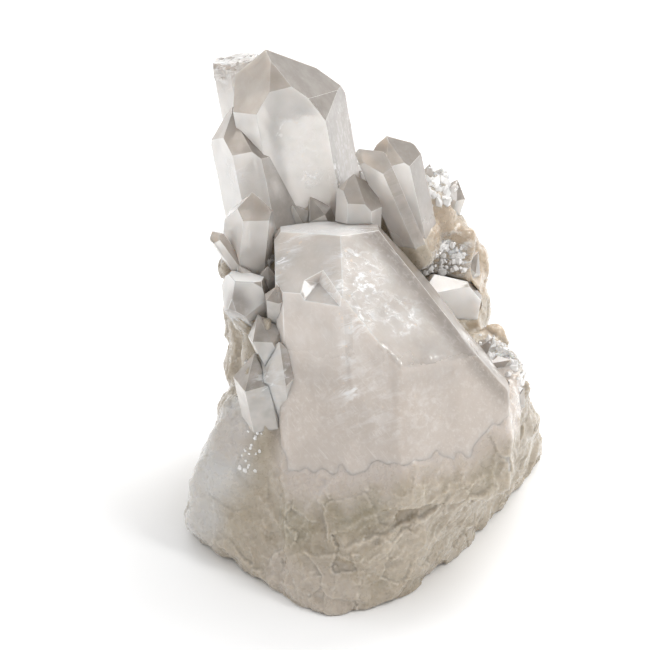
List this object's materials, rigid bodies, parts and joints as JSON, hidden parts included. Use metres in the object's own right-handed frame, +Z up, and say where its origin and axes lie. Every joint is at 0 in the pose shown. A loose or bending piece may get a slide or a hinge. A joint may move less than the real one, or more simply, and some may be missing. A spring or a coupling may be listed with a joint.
{
  "type": "quartz crystal cluster",
  "caption": "Quartz crystal cluster: clear pointed crystals standing on a broken base of milky quartz that is cut flat to rest on.",
  "frame": {"origin": "on the flat resting face, under the middle of the cluster", "axes": "+X to the right, +Y to the back, +Z up along the standing crystals"},
  "size_m": [0.1041, 0.1087, 0.1306],
  "materials": {
    "clear_quartz": "polished by growth: clear, faintly smoky, glassy lustre",
    "milky_quartz": "broken: cloudy white to olive-beige, greasy lustre, iron-stained at the right"
  },
  "bodies": {
    "root": {"milky_base": "milky_quartz", "front_crystal": "clear_quartz", "tall_crystals": "clear_quartz", "middle_crystals": "clear_quartz", "left_upper_crystals": "clear_quartz", "left_lower_crystal": "clear_quartz", "right_crystal": "clear_quartz"}
  },
  "joints": []
}
